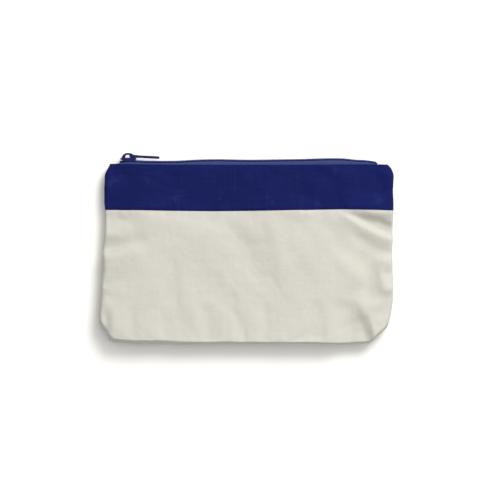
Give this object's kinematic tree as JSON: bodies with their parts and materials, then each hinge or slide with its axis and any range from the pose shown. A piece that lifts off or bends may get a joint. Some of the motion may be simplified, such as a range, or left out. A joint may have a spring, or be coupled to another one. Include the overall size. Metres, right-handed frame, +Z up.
{
  "type": "zipped canvas pencil case",
  "caption": "Flat canvas pouch with a dark band along its zipped mouth, boxed bottom corners and a coil zip with a metal slider and pull, for pens and pencils.",
  "frame": {"origin": "on the surface the case lies on, at the middle of its bounding box", "axes": "+X along the zip, from its closed slider end to its open end; +Y from the boxed bottom towards the zip; +Z up through the thickness, out of the front panel"},
  "size_m": [0.21, 0.1366, 0.0175],
  "materials": {
    "natural_canvas": "matte",
    "navy_canvas": "matte",
    "zip_tape": "matte",
    "coil": "satin",
    "cord": "matte",
    "slider_paint": "satin",
    "navy_thread": "matte",
    "natural_thread": "matte"
  },
  "bodies": {
    "back": {"back_panel": "natural_canvas", "back_band": "navy_canvas", "zip_tape_back": "zip_tape", "zip_coil_back": "coil", "coil_cord_back": "cord", "zip_stitches_back": "navy_thread", "zip_tacks": "navy_thread", "side_overlock_left": "natural_thread", "side_overlock_right": "natural_thread", "bottom_overlock": "natural_thread", "corner_overlock_left": "natural_thread", "corner_overlock_right": "natural_thread", "band_overlock_back": "natural_thread"},
    "front": {"front_panel": "natural_canvas", "front_band": "navy_canvas", "zip_tape_front": "zip_tape", "zip_coil_front": "coil", "coil_cord_front": "cord", "zip_stitches_front": "navy_thread", "band_overlock_front": "natural_thread"},
    "slider": {"slider_body": "slider_paint", "slider_crown": "slider_paint"},
    "pull": {"pull_tab": "slider_paint"}
  },
  "joints": [
    {"name": "slider_travel", "type": "slide", "parent": "back", "child": "slider", "axis": [1, 0, 0], "range_m": [0, 0.169], "deforming": ["zip_coil_back", "coil_cord_back"]},
    {"name": "pull_swing", "type": "hinge", "parent": "slider", "child": "pull", "pos_m": [-0.0829, 0.06595, 0.008], "axis": [0, 0, 1], "range_deg": [0, 150]},
    {"name": "mouth_open", "type": "hinge", "parent": "back", "child": "front", "pos_m": [0, -0.0683, 0.008], "axis": [1, 0, 0], "range_deg": [0, 18], "deforming": ["zip_coil_front", "coil_cord_front", "zip_tape_front"]}
  ],
  "couplings": [
    {"joint": "mouth_open", "follows": "slider_travel", "rad_per_m": 1.8}
  ]
}
